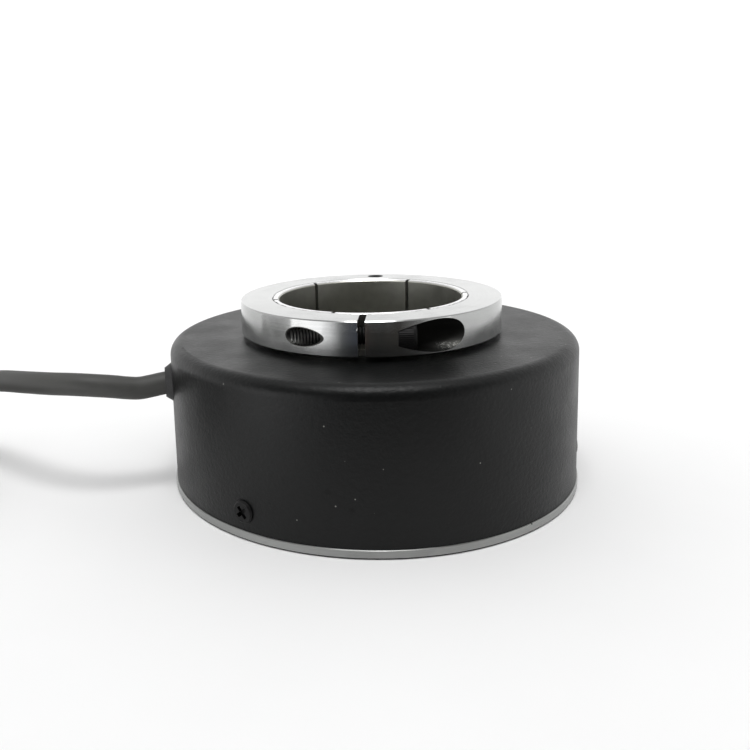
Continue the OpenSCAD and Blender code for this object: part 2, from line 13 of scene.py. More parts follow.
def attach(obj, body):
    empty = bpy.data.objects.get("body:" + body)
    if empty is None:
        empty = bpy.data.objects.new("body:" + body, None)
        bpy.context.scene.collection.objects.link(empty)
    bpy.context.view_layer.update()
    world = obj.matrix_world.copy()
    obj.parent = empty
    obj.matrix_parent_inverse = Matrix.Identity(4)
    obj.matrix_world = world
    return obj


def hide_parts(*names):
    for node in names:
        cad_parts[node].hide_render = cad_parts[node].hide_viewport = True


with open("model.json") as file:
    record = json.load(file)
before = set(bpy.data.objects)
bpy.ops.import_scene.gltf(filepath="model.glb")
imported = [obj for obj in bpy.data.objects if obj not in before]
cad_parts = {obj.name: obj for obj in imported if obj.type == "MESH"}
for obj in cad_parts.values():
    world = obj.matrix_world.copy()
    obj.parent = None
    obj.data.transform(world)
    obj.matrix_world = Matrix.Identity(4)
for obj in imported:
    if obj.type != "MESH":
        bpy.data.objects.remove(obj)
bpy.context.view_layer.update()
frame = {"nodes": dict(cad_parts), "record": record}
MM = 0.001

# The part's own sizes, as in its CAD source
RING_R = 32 * MM
RING_TOP = 44.5 * MM
RING_MID_Z = 40.5 * MM
SEAT_R = 24 * MM
ROTOR_ANGLE = radians(-15)
SLIT_TURN = radians(-3.4)
SLIT_W = 1.6 * MM
CHORD_Y = -28.2 * MM
SCREW_SEAT_X = 5.9 * MM
SCREW_LEN = 16 * MM
M4_R = 2 * MM
POCKET_R = 3.6 * MM
RIM_NICK = (22.1 * MM, -44.85 * MM, 1.95 * MM)
M4_PITCH = 0.7 * MM

CABLE_R = 2.75 * MM
COIL_AT = Vector((-0.141, 0.012, 0))
COIL_R = 32.4 * MM
TURN_PITCH = 5.6 * MM
TIE_T = 0.5 * MM
TIE_W = 3 * MM
TIE_ANGLES = (radians(40), radians(150))
TIE_STEPS = 72
COIL_LOW_Z = TIE_T + CABLE_R
COIL_HIGH_Z = COIL_LOW_Z + 5.1 * MM
COIL_STEP = 70  # degrees that the cable takes to step to its next place in the coil
TAIL_X = COIL_AT.x - COIL_R - TURN_PITCH
TAIL_END_Y = -24 * MM
SLEEVE_R = 3.2 * MM

# Two rubs low on the cover's near side
PAINT_RUBS = [(-21.4 * MM, -44.85 * MM, 13.8 * MM), (-16.9 * MM, -46.75 * MM, 10.2 * MM)]

# The cable from the housing to its coil: level out of the gland, then down to the table
CABLE_ROUTE = [
    (-0.0432, 0, 0.0262), (-0.0475, 0, 0.0262), (-0.0515, 0, 0.0260), (-0.0550, 0, 0.0255),
    (-0.0575, -0.0002, 0.0253), (-0.0605, -0.0005, 0.0257), (-0.0635, -0.0007, 0.0263),
    (-0.0670, -0.0006, 0.0268), (-0.0725, 0.0007, 0.0272), (-0.0785, 0.0039, 0.0270),
    (-0.0855, 0.0102, 0.0262), (-0.0930, 0.0193, 0.0246), (-0.0985, 0.0265, 0.0227),
    (-0.1045, 0.0336, 0.0196), (-0.1115, 0.0392, 0.0158), (-0.1195, 0.0435, 0.0122),
    (-0.1275, 0.0460, 0.0097),
]


# ---- Camera ----

def add_camera():
    """The photograph's viewpoint: 0.2 m from the shaft axis and 81 mm above the table."""
    data = bpy.data.cameras.new("camera")
    data.sensor_width = 36
    data.lens = 39.326
    data.shift_x = 0.1017
    data.shift_y = -0.1152
    data.clip_start = 0.01
    camera = bpy.data.objects.new("camera", data)
    bpy.context.scene.collection.objects.link(camera)
    pitch, yaw, roll = 0.1711, -0.0873, 0.0334
    camera.matrix_world = (
        Matrix.Rotation(ROTOR_ANGLE, 4, "Z") @ Matrix.Translation((0, -0.20123, 0.08113))
        @ Matrix.Rotation(-yaw, 4, "Z") @ Matrix.Rotation(pi / 2 - pitch, 4, "X")
        @ Matrix.Rotation(-roll, 4, "Z"))
    bpy.context.scene.camera = camera


# ---- Mesh and curve helpers ----

def mesh_piece(name, points, faces, materials, body, smooth=True):
    """A mesh object that rides on a body."""
    data = bpy.data.meshes.new(name)
    data.from_pydata([tuple(p) for p in points], [], faces)
    data.validate()
    for material in materials:
        data.materials.append(material)
    for polygon in data.polygons:
        polygon.use_smooth = smooth
    piece = bpy.data.objects.new(name, data)
    bpy.context.scene.collection.objects.link(piece)
    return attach(piece, body)


def grid_faces(rows, columns, close_rows=False, close_columns=False):
    """The quads of a grid of points, row by row."""
    faces = []
    for i in range(rows if close_rows else rows - 1):
        for j in range(columns if close_columns else columns - 1):
            k, m = (i + 1) % rows, (j + 1) % columns
            faces.append((i * columns + j, k * columns + j, k * columns + m, i * columns + m))
    return faces


def sweep_curve(name, points, radius, material, body, sides=4):
    """A round tube through points, as one open Bezier spline."""
    data = bpy.data.curves.new(name, "CURVE")
    data.dimensions = "3D"
    data.bevel_depth = radius
    data.bevel_resolution = sides
    data.use_fill_caps = True
    data.resolution_u = 6
    data.materials.append(material)
    spline = data.splines.new("BEZIER")
    spline.bezier_points.add(len(points) - 1)
    for knot, point in zip(spline.bezier_points, points):
        knot.co = point
        knot.handle_left_type = "AUTO"
        knot.handle_right_type = "AUTO"
    piece = bpy.data.objects.new(name, data)
    bpy.context.scene.collection.objects.link(piece)
    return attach(piece, body)


def ease(t):
    t = min(1, max(0, t))
    return t * t * (3 - 2 * t)


def mix(a, b, t):
    return a + (b - a) * t


# ---- Materials ----

class Surface:
    """A Principled material and the nodes that feed it. Lengths are in metres on the object."""

    def __init__(self, name, color, roughness, metallic=0.0, **sockets):
        self.material = bpy.data.materials.new(name)
        self.material.use_nodes = True
        self.tree = self.material.node_tree
        self.shader = self.tree.nodes["Principled BSDF"]
        self.shader.inputs["Base Color"].default_value = (*color, 1)
        self.shader.inputs["Roughness"].default_value = roughness
        self.shader.inputs["Metallic"].default_value = metallic
        for socket, value in sockets.items():
            self.shader.inputs[socket.replace("_", " ")].default_value = value
        self.place = self.node("ShaderNodeTexCoord").outputs["Object"]

    def node(self, kind, inputs=(), **settings):
        made = self.tree.nodes.new(kind)
        for key, value in settings.items():
            setattr(made, key, value)
        for key, value in dict(inputs).items():
            if isinstance(value, bpy.types.NodeSocket):
                self.tree.links.new(value, made.inputs[key])
            else:
                made.inputs[key].default_value = value
        return made

    def link(self, output, socket):
        self.tree.links.new(output, self.shader.inputs[socket])

    def math(self, operation, a, b=0.0):
        return self.node("ShaderNodeMath", {0: a, 1: b}, operation=operation).outputs[0]

    def noise(self, size, detail=4.0, place=None, roughness=0.55):
        """Cloudy noise whose blotches are about size across."""
        return self.node("ShaderNodeTexNoise", {
            "Vector": place or self.place, "Scale": 1 / size, "Detail": detail,
            "Roughness": roughness}).outputs["Fac"]

    def cells(self, size):
        """Rounded cells that are about size across."""
        return self.node("ShaderNodeTexVoronoi", {
            "Vector": self.place, "Scale": 1 / size}, feature="SMOOTH_F1").outputs["Distance"]

    def spread(self, value, low, high, to_low, to_high):
        """Maps the range low..high to to_low..to_high, clamped."""
        return self.node("ShaderNodeMapRange", {
            "Value": value, "From Min": low, "From Max": high,
            "To Min": to_low, "To Max": to_high}).outputs["Result"]

    def blend_colors(self, factor, first, second):
        made = self.node("ShaderNodeMix", data_type="RGBA")
        self.tree.links.new(factor, made.inputs["Factor"])
        for socket, value in ((made.inputs[6], first), (made.inputs[7], second)):
            if isinstance(value, bpy.types.NodeSocket):
                self.tree.links.new(value, socket)
            else:
                socket.default_value = (*value, 1)
        return made.outputs[2]

    def bump(self, height, depth, strength=1.0):
        """Adds relief of the given depth on top of any relief set before."""
        made = self.node("ShaderNodeBump", {
            "Height": height, "Distance": depth, "Strength": strength})
        before = self.shader.inputs["Normal"].links
        if before:
            self.tree.links.new(before[0].from_socket, made.inputs["Normal"])
        self.link(made.outputs["Normal"], "Normal")

    def overlay(self, factor, color, roughness):
        """Lays another colour and roughness over the ones that are linked so far."""
        below = self.shader.inputs["Base Color"].links[0].from_socket
        self.link(self.blend_colors(factor, below, color), "Base Color")
        below = self.shader.inputs["Roughness"].links[0].from_socket
        self.link(self.node("ShaderNodeMix", {0: factor, 2: below, 3: roughness}).outputs[0], "Roughness")

    def split(self):
        """x, y, z of the place."""
        return self.node("ShaderNodeSeparateXYZ", {0: self.place}).outputs

    def radius(self):
        """Distance from the shaft axis."""
        x, y, _ = self.split()
        return self.math("SQRT", self.math("ADD", self.math("MULTIPLY", x, x),
                                           self.math("MULTIPLY", y, y)))

    def distance_to(self, point):
        return self.node("ShaderNodeVectorMath", {0: self.place, 1: point},
                         operation="DISTANCE").outputs["Value"]

    def turned(self):
        """A place for noise that runs in rings about the shaft axis, as a lathe leaves them."""
        drift = 0.4 * MM
        x, y, z = self.split()
        far = self.radius()
        lift = self.math("ADD", far, z)
        return self.node("ShaderNodeCombineXYZ", {
            0: lift, 1: self.math("MULTIPLY", self.math("DIVIDE", x, far), drift),
            2: self.math("MULTIPLY", self.math("DIVIDE", y, far), drift)}).outputs[0]

    def worn_edges(self, width):
        """1 on edges, out to about width from them, 0 elsewhere."""
        bevel = self.node("ShaderNodeBevel", {"Radius": width}, samples=4)
        normal = self.node("ShaderNodeNewGeometry").outputs["Normal"]
        same = self.node("ShaderNodeVectorMath", {0: bevel.outputs[0], 1: normal},
                         operation="DOT_PRODUCT").outputs["Value"]
        return self.spread(same, 0.999, 0.9, 0, 1)


def cover_paint():
    """Satin black wrinkle paint: a close leathery relief, a faint mottle, dust and two dark rubs."""
    black, worn = (0.0020, 0.0024, 0.0024), (0.005, 0.0055, 0.0055)
    s = Surface("cover_paint", black, 0.38, IOR=1.32)
    mottle = s.noise(9 * MM, 3)
    grain = s.noise(0.5 * MM, 3, roughness=0.65)
    pimple = s.cells(0.9 * MM)
    s.link(s.spread(s.math("ADD", mottle, s.math("MULTIPLY", grain, 0.6)), 0.5, 1.1, 0.34, 0.46),
           "Roughness")
    speck = s.node("ShaderNodeTexVoronoi", {"Vector": s.place, "Scale": 1 / (1.8 * MM)})
    rare = s.spread(s.node("ShaderNodeSeparateXYZ", {0: speck.outputs["Color"]}).outputs[0],
                    0.93, 0.94, 0, 1)
    dust = s.math("MULTIPLY", s.spread(speck.outputs["Distance"], 0.06, 0.11, 1, 0), rare)
    tone = s.blend_colors(s.spread(grain, 0.55, 0.75, 0, 0.7), black, worn)
    s.link(s.blend_colors(dust, tone, (0.16, 0.16, 0.15)), "Base Color")
    for rub in PAINT_RUBS:
        ragged = s.math("ADD", s.distance_to(rub), s.math("MULTIPLY", grain, 1.2 * MM))
        s.overlay(s.spread(ragged, 0.9 * MM, 1.5 * MM, 0.8, 0), (0.001, 0.001, 0.001), 0.6)
    s.bump(pimple, 0.10 * MM, 0.4)
    s.bump(grain, 0.09 * MM, 0.7)
    s.bump(mottle, 0.12 * MM, 0.12)
    return s.material


def turned_surface(name, color, roughness, line=0.05 * MM, relief=0.004 * MM, smudge=0.12):
    """Bare metal off the lathe: fine rings, a few deeper ones, finger smudges."""
    s = Surface(name, color, roughness, 1.0, Anisotropic=0.7, Anisotropic_Rotation=0.25)
    rings = s.noise(line, 2, s.turned())
    coarse = s.noise(line * 9, 3, s.turned())
    smudges = s.noise(7 * MM, 4)
    shade = s.math("ADD", s.math("MULTIPLY", rings, 0.5), s.math("MULTIPLY", coarse, 0.5))
    s.link(s.blend_colors(s.spread(shade, 0.35, 0.65, 0, 1), tuple(0.88 * c for c in color), color),
           "Base Color")
    s.link(s.spread(smudges, 0.4, 0.7, roughness, roughness + smudge), "Roughness")
    s.bump(rings, relief, 0.6)
    s.bump(coarse, relief * 2, 0.4)
    return s


def ring_metal():
    """The clamp ring: bright off the lathe, dull down its screw pocket and holes, which are also painted
    dark as shade in the recesses.
    """
    s = turned_surface("ring_aluminium", (0.46, 0.465, 0.46), 0.15, smudge=0.08)
    own = s.node("ShaderNodeMapping", {"Vector": s.place, "Rotation": (0, 0, -ROTOR_ANGLE)}).outputs[0]
    x, y, z = s.node("ShaderNodeSeparateXYZ", {0: own}).outputs
    across, up = s.math("SUBTRACT", y, CHORD_Y), s.math("SUBTRACT", z, RING_MID_Z)
    far = s.math("SQRT", s.math("ADD", s.math("MULTIPLY", across, across), s.math("MULTIPLY", up, up)))
    wide = s.spread(x, SCREW_SEAT_X - 0.1 * MM, SCREW_SEAT_X, M4_R + 0.2 * MM, POCKET_R + 0.05 * MM)
    drilled_and_shaded = s.spread(s.math("SUBTRACT", far, wide), -0.02 * MM, 0.02 * MM, 1, 0)
    scored = s.math("MULTIPLY", s.spread(x, 13.2 * MM, 15.5 * MM, 0, 1),
                    s.spread(up, -2.6 * MM, -2 * MM, 1, 0))
    chips = s.math("MULTIPLY", scored, s.spread(s.noise(0.3 * MM, 3), 0.56, 0.64, 0, 1))
    # Painted shade: the pocket and hole walls are coloured near black, with lighter chips in one scored
    # patch; their higher roughness is the real drilled finish
    hole_shade_and_chips = s.blend_colors(chips, (0.05, 0.05, 0.047), (0.4, 0.4, 0.385))
    s.overlay(drilled_and_shaded, hole_shade_and_chips, 0.42)
    # Painted shade in the gap where the shaft's end meets the ring: a dark ragged line
    s.overlay(seam_shade_line(s), (0.03, 0.03, 0.03), 0.6)
    return s.material


def flange_metal():
    """The base flange: satin rim, a dull lower chamfer painted dark as contact shade where it meets the
    table, and a nick in its upper edge.
    """
    s = turned_surface("flange_aluminium", (0.33, 0.335, 0.328), 0.34, 0.08 * MM)
    _, _, z = s.split()
    # Painted contact shade: below about 0.4 mm the chamfer is coloured near black where the rim meets the
    # table
    s.overlay(s.spread(z, 0.3 * MM, 0.42 * MM, 1, 0), (0.012, 0.012, 0.012), 0.8)
    s.overlay(s.spread(s.distance_to(RIM_NICK), 0.14 * MM, 0.3 * MM, 1, 0), (0.03, 0.03, 0.03), 0.7)
    return s.material


def seam_shade_line(s):
    """1 along the ragged line where the shaft's end meets the clamp ring, on their top faces: a line of
    painted shade in the gap between them.
    """
    _, _, z = s.split()
    off = s.math("ABSOLUTE", s.math("SUBTRACT", s.radius(), SEAT_R))
    ragged = s.spread(s.noise(1.3 * MM, 3), 0.35, 0.65, 0.02 * MM, 0.2 * MM)
    near = s.spread(s.math("SUBTRACT", off, ragged), -0.03 * MM, 0.03 * MM, 0.9, 0)
    return s.math("MULTIPLY", near, s.spread(z, RING_TOP - 0.3 * MM, RING_TOP - 0.2 * MM, 0, 1))


def shaft_steel():
    """A bore ground dull and oiled, with a bright turned end face."""
    s = Surface("shaft_steel", (0.40, 0.40, 0.37), 0.42, 1.0, Anisotropic=0.3)
    rings = s.noise(0.06 * MM, 2, s.turned())
    film = s.noise(5 * MM, 4)
    _, _, z = s.split()
    end_face = s.spread(z, RING_TOP - 0.28 * MM, RING_TOP - 0.18 * MM, 0, 1)
    oiled = s.blend_colors(s.spread(film, 0.35, 0.7, 0, 1), (0.42, 0.42, 0.385), (0.33, 0.33, 0.30))
    s.link(s.blend_colors(end_face, oiled, (0.78, 0.78, 0.78)), "Base Color")
    s.link(s.spread(s.math("ADD", film, s.math("MULTIPLY", end_face, -0.4)), 0, 1, 0.22, 0.55),
           "Roughness")
    # Painted shade in the gap where the shaft's end meets the ring: a dark ragged line
    s.overlay(seam_shade_line(s), (0.03, 0.03, 0.03), 0.6)
    s.bump(rings, 0.004 * MM, 0.7)
    return s.material


def black_oxide():
    """Oiled black oxide with its edges rubbed grey."""
    black = (0.0025, 0.0025, 0.0028)
    s = Surface("black_screw", black, 0.42, IOR=1.3)
    grain = s.noise(0.25 * MM, 4)
    worn = s.worn_edges(0.12 * MM)
    s.link(s.blend_colors(s.math("MULTIPLY", worn, s.spread(grain, 0.35, 0.6, 0.1, 0.8)),
                          black, (0.05, 0.048, 0.045)), "Base Color")
    s.link(s.spread(grain, 0.3, 0.7, 0.36, 0.55), "Roughness")
    s.bump(grain, 0.02 * MM, 0.4)
    return s.material


def soft_black(name, color, roughness, grain_size, relief):
    """Moulded black rubber or plastic with a fine grain and a little bloom."""
    s = Surface(name, color, roughness)
    grain = s.noise(grain_size, 5)
    bloom = s.noise(4 * MM, 3)
    s.link(s.blend_colors(s.spread(bloom, 0.4, 0.75, 0, 1), color, tuple(1.9 * c for c in color)),
           "Base Color")
    s.link(s.spread(grain, 0.3, 0.7, roughness - 0.08, roughness + 0.1), "Roughness")
    s.bump(grain, relief, 0.5)
    return s.material


def cable_jacket():
    """Grey PVC jacket: dull, faintly orange-peeled, with dusty patches."""
    s = Surface("cable_jacket", (0.047, 0.047, 0.043), 0.6)
    peel = s.noise(0.9 * MM, 3)
    dust = s.noise(6 * MM, 5)
    s.link(s.blend_colors(s.spread(dust, 0.35, 0.7, 0, 1), (0.041, 0.041, 0.038), (0.055, 0.055, 0.051)),
           "Base Color")
    s.link(s.spread(dust, 0.3, 0.7, 0.52, 0.68), "Roughness")
    s.bump(peel, 0.05 * MM, 0.5)
    return s.material


def insulation(name, color):
    """Smooth coloured plastic, such as the PVC on one core."""
    s = Surface(name, color, 0.36)
    peel = s.noise(0.6 * MM, 3)
    s.link(s.blend_colors(s.spread(peel, 0.3, 0.7, 0, 1), color, tuple(0.75 * c for c in color)),
           "Base Color")
    s.link(s.spread(peel, 0.3, 0.7, 0.3, 0.44), "Roughness")
    s.bump(peel, 0.02 * MM, 0.4)
    return s.material


def satin_metal(name, color, roughness):
    """Rolled, ground or tinned metal with a fine grain in no direction."""
    s = Surface(name, color, roughness, 1.0)
    grain = s.noise(0.15 * MM, 4)
    stain = s.noise(3 * MM, 3)
    s.link(s.blend_colors(s.spread(stain, 0.35, 0.7, 0, 1), color, tuple(0.8 * c for c in color)),
           "Base Color")
    s.link(s.spread(grain, 0.3, 0.7, roughness * 0.8, roughness * 1.35), "Roughness")
    s.bump(grain, 0.01 * MM, 0.4)
    return s.material


def board_laminate():
    """Green solder mask over copper tracks."""
    mask = (0.012, 0.10, 0.045)
    s = Surface("board_laminate", mask, 0.3)
    tracks = s.node("ShaderNodeTexBrick", {"Vector": s.place, "Scale": 1.0, "Mortar Size": 0.25 * MM,
                                           "Brick Width": 5 * MM, "Row Height": 1.3 * MM},
                    offset=0.37).outputs["Fac"]
    weave = s.noise(0.4 * MM, 3)
    s.link(s.blend_colors(tracks, mask, (0.03, 0.19, 0.08)), "Base Color")
    s.link(s.spread(weave, 0.3, 0.7, 0.24, 0.4), "Roughness")
    s.bump(tracks, 0.03 * MM, 0.6)
    return s.material


def disc_glass():
    """Clear glass with a ring of fine chrome lines."""
    clear = (0.82, 0.90, 0.92)
    s = Surface("disc_glass", clear, 0.05, IOR=1.5, Transmission_Weight=0.85)
    x, y, _ = s.split()
    around = s.node("ShaderNodeMath", {0: y, 1: x}, operation="ARCTAN2").outputs[0]
    lines = s.spread(s.math("SINE", s.math("MULTIPLY", around, 720)), -0.1, 0.1, 0, 1)
    far = s.radius()
    band = s.math("MULTIPLY", s.spread(far, 35.2 * MM, 35.3 * MM, 0, 1),
                  s.spread(far, 38.3 * MM, 38.4 * MM, 1, 0))
    s.link(s.blend_colors(s.math("MULTIPLY", lines, band), clear, (0.3, 0.3, 0.31)),
           "Base Color")
    s.link(s.spread(s.noise(0.2 * MM, 3), 0.3, 0.7, 0.03, 0.09), "Roughness")
    return s.material


MATERIALS = {
    "flange_aluminium": flange_metal(),
    "cover_paint": cover_paint(),
    "black_screw": black_oxide(),
    "seal_rubber": soft_black("seal_rubber", (0.012, 0.012, 0.012), 0.6, 0.3 * MM, 0.03 * MM),
    "bearing_steel": turned_surface("bearing_steel", (0.6, 0.61, 0.63), 0.2, 0.03 * MM).material,
    "ball_steel": satin_metal("ball_steel", (0.78, 0.78, 0.8), 0.07),
    "cage_brass": satin_metal("cage_brass", (0.72, 0.52, 0.24), 0.3),
    "bearing_shield": soft_black("bearing_shield", (0.015, 0.015, 0.015), 0.55, 0.2 * MM, 0.02 * MM),
    "spring_steel": satin_metal("spring_steel", (0.66, 0.66, 0.66), 0.24),
    "shaft_steel": shaft_steel(),
    "ring_aluminium": ring_metal(),
    "disc_glass": disc_glass(),
    "standoff_brass": satin_metal("standoff_brass", (0.75, 0.57, 0.27), 0.25),
    "board_laminate": board_laminate(),
    "chip_plastic": soft_black("chip_plastic", (0.014, 0.014, 0.015), 0.5, 0.1 * MM, 0.01 * MM),
    "holder_plastic": soft_black("holder_plastic", (0.018, 0.018, 0.018), 0.45, 0.2 * MM, 0.02 * MM),
    "led_lens": insulation("led_lens", (0.42, 0.07, 0.07)),
    "header_plastic": insulation("header_plastic", (0.62, 0.59, 0.48)),
    "core_insulation": insulation("core_insulation", (0.38, 0.02, 0.016)),
    "cable_jacket": cable_jacket(),
    "tie_plastic": soft_black("tie_plastic", (0.014, 0.014, 0.014), 0.4, 0.3 * MM, 0.02 * MM),
    "sleeve_plastic": soft_black("sleeve_plastic", (0.013, 0.013, 0.013), 0.38, 0.6 * MM, 0.03 * MM),
    "ferrule": satin_metal("ferrule", (0.72, 0.73, 0.74), 0.28),
}


def finish_cad_nodes():
    """Gives every node that stays the material of its slot."""
    for part in frame["record"]["subparts"]:
        slots = frame["nodes"][part["node"]].material_slots
        for slot in slots:
            slot.material = MATERIALS[part["material_slot"]]


# ---- Cable ----

def coil_section(turn_angle):
    """Radius and height of the winding at an angle from its start, in degrees.

    Two turns lie on top and three on the table; COIL_STEP is how long a step to the next place takes.
    """
    places = [(TURN_PITCH / 2, COIL_HIGH_Z), (-TURN_PITCH / 2, COIL_HIGH_Z), (-TURN_PITCH, COIL_LOW_Z),
              (0, COIL_LOW_Z), (TURN_PITCH, COIL_LOW_Z)]
    step_starts = [290, 600, 890, 1180]
    step = sum(turn_angle > start for start in step_starts)
    if step == 0:
        return places[0]
    t = min(1, (turn_angle - step_starts[step - 1]) / COIL_STEP)
    t = 2 * t * t if t < 0.5 else 1 - 2 * (1 - t) ** 2
    (r0, z0), (r1, z1) = places[step - 1], places[step]
    r, z = mix(r0, r1, t), mix(z0, z1, t)
    if step == 1:
        # Over the turn between its two places
        z += 0.7 * MM * sin(pi * t)
    if step == 2:
        # Down round the turn that it leans on
        angle = mix(radians(118.7), pi, t)
        r, z = TURN_PITCH * cos(angle), COIL_LOW_Z + TURN_PITCH * sin(angle)
    return r, z


def cable_path():
    """Every point of the cable, from inside the gland to the sleeve at its end."""
    points = [Vector(p) for p in CABLE_ROUTE]
    for turn_angle in range(0, 1541, 10):
        offset, z = coil_section(turn_angle)
        angle = radians(80 + turn_angle)
        across = Vector((cos(angle), sin(angle), 0)) * (COIL_R + offset)
        points.append(COIL_AT + across + Vector((0, 0, z)))
    steps = 4
    for i in range(1, steps + 1):
        points.append(Vector((TAIL_X, mix(COIL_AT.y, TAIL_END_Y, i / steps), COIL_LOW_Z)))
    return points


def add_cable():
    """The jacketed cable, one metre long, with what it carries."""
    cable = sweep_curve("cable", cable_path(), CABLE_R, MATERIALS["cable_jacket"], "stator", sides=7)
    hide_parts("cable_lead", "cable_coil", "cable_tail")
    pieces = add_ties() + [add_sleeve()] + add_leads()


def tie_outline(swell):
    """The taut loop round the five places of the coil, in (radius, height)."""
    places = [(TURN_PITCH * k, COIL_LOW_Z) for k in (-1, 0, 1)]
    places += [(TURN_PITCH * k / 2, COIL_HIGH_Z) for k in (-1, 1)]
    outline = []
    for i in range(TIE_STEPS):
        angle = tau * i / TIE_STEPS
        r, z = max(places, key=lambda p: p[0] * cos(angle) + p[1] * sin(angle))
        outline.append((r + swell * cos(angle), z + swell * sin(angle)))
    return outline


def add_ties():
    """Two hook-and-loop straps round the coil, each with its end lapped on the outside."""
    ties = []
    for k, around in enumerate(TIE_ANGLES):
        radial = Vector((cos(around), sin(around), 0))
        along = Vector((-sin(around), cos(around), 0))
        inner = tie_outline(CABLE_R + 0.02 * MM)
        outer = tie_outline(CABLE_R + TIE_T - 0.02 * MM)
        section = [(0, -0.5), (0, 0.5), (1, 0.42), (1, -0.42)]
        points = []
        for (r0, z0), (r1, z1) in zip(inner, outer):
            for out, side in section:
                r, z = mix(r0, r1, out), mix(z0, z1, out)
                points.append(COIL_AT + radial * (COIL_R + r) + along * side * TIE_W
                              + Vector((0, 0, z)))
        faces = grid_faces(len(inner), 4, close_rows=True, close_columns=True)
        lap = tie_outline(CABLE_R + TIE_T)[1:24]
        first = len(points)
        for j, (r, z) in enumerate(lap):
            lift = min(1, (len(lap) - 1 - j) / 3, (j + 1) / 2) * TIE_T
            angle = tau * (j + 1) / TIE_STEPS
            out = Vector((cos(angle), sin(angle)))
            for rise, side in ((0, -0.46), (0, 0.46), (lift, 0.40), (lift, -0.40)):
                points.append(COIL_AT + radial * (COIL_R + r + rise * out.x) + along * side * TIE_W
                              + Vector((0, 0, z + rise * out.y)))
        lap_faces = grid_faces(len(lap), 4, close_columns=True)
        lap_faces += [(3, 2, 1, 0), tuple(4 * (len(lap) - 1) + corner for corner in range(4))]
        faces += [tuple(first + corner for corner in face) for face in lap_faces]
        tie = mesh_piece(f"coil_tie_{k}", points, faces, [MATERIALS["tie_plastic"]], "stator")
        ties.append(tie)
    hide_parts("coil_ties")
    return ties


def add_sleeve():
    """Shrink sleeve over the jacket's end, drawn in over the cores."""
    start_y, length, sides = TAIL_END_Y + 8 * MM, 14 * MM, 32
    points = []
    profile = [(0.0, CABLE_R + 0.05 * MM), (0.0, SLEEVE_R - 0.1 * MM), (0.03, SLEEVE_R), (0.5, SLEEVE_R),
               (0.6, SLEEVE_R - 0.05 * MM), (0.7, 2.85 * MM), (0.85, 2.7 * MM), (0.99, 2.75 * MM),
               (1.0, 2.62 * MM), (1.0, 2.3 * MM), (0.8, 2.2 * MM)]
    for along, r in profile:
        for i in range(sides):
            angle = tau * i / sides
            lump = 0.1 * MM * cos(6 * angle) * ease((along - 0.55) / 0.2)
            points.append((TAIL_X + (r + lump) * cos(angle), start_y - length * along,
                           COIL_LOW_Z + (r + lump) * sin(angle)))
    faces = grid_faces(len(profile), sides, close_columns=True)
    sleeve = mesh_piece("sleeve", points, faces, [MATERIALS["sleeve_plastic"]], "stator")
    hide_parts("end_sleeve")
    return sleeve


def add_leads():
    """Six coloured cores that fan out of the sleeve, each with a collared ferrule."""
    colors = {"red": (0.42, 0.015, 0.012), "black": (0.012, 0.012, 0.012), "green": (0.02, 0.2, 0.04),
              "white": (0.7, 0.7, 0.67), "yellow": (0.66, 0.46, 0.03), "gray": (0.17, 0.17, 0.17)}
    start_angles = (180, 120, 240, 300, 60, 0)
    lead_r, length, spread, collar_r = 0.65 * MM, 32 * MM, 3.2 * MM, 1.05 * MM
    collar = insulation("ferrule_collar", (0.66, 0.66, 0.62))
    pieces = []
    for i, (color, angle) in enumerate(zip(colors, start_angles)):
        x0 = TAIL_X + 1.5 * MM * cos(radians(angle))
        z0 = COIL_LOW_Z + 1.5 * MM * sin(radians(angle))
        x1 = TAIL_X + (i - 2.5) * spread
        z1 = collar_r + 0.02 * MM
        points = [(x0, TAIL_END_Y, z0), (x0, TAIL_END_Y - 4 * MM, z0)]
        for s in range(1, 8):
            t = s / 7
            points.append((mix(x0, x1, ease(t)), TAIL_END_Y - mix(6 * MM, length, t),
                           mix(z0, z1, ease(1.6 * t))))
        lead = sweep_curve(f"lead_{color}", points, lead_r, insulation(f"lead_{color}", colors[color]),
                           "stator")
        end = add_ferrule(f"ferrule_{color}", Vector(points[-1]), collar)
        pieces += [lead, end]
    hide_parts("lead_wires")
    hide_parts("lead_ferrules")
    return pieces


def add_ferrule(name, start, collar):
    """A flared plastic collar and a crimped tinned pin, along -Y."""
    profile = [(-0.02, 0.66), (-0.02, 1.0), (0.3, 1.05), (2.2, 1.0), (3.0, 0.7), (3.0, 0.55), (5.0, 0.5),
               (7.9, 0.53), (8.0, 0.45), (8.0, 0.0)]
    sides = 16
    points = []
    for along, r in profile:
        for k in range(sides):
            angle = tau * k / sides
            points.append(start + Vector((r * cos(angle), -along, r * sin(angle))) * MM)
    faces = grid_faces(len(profile), sides, close_columns=True)
    ferrule = mesh_piece(name, points, faces, [collar, MATERIALS["ferrule"]], "stator")
    for polygon in ferrule.data.polygons:
        polygon.material_index = int(polygon.center.y < start.y - 3 * MM)
    return ferrule


# ---- Clamp ring details ----

def rotor_point(x, y, z):
    """A point in the clamp ring's own directions, turned to where the rotor stands at rest."""
    return Matrix.Rotation(ROTOR_ANGLE, 3, "Z") @ Vector((x, y, z))


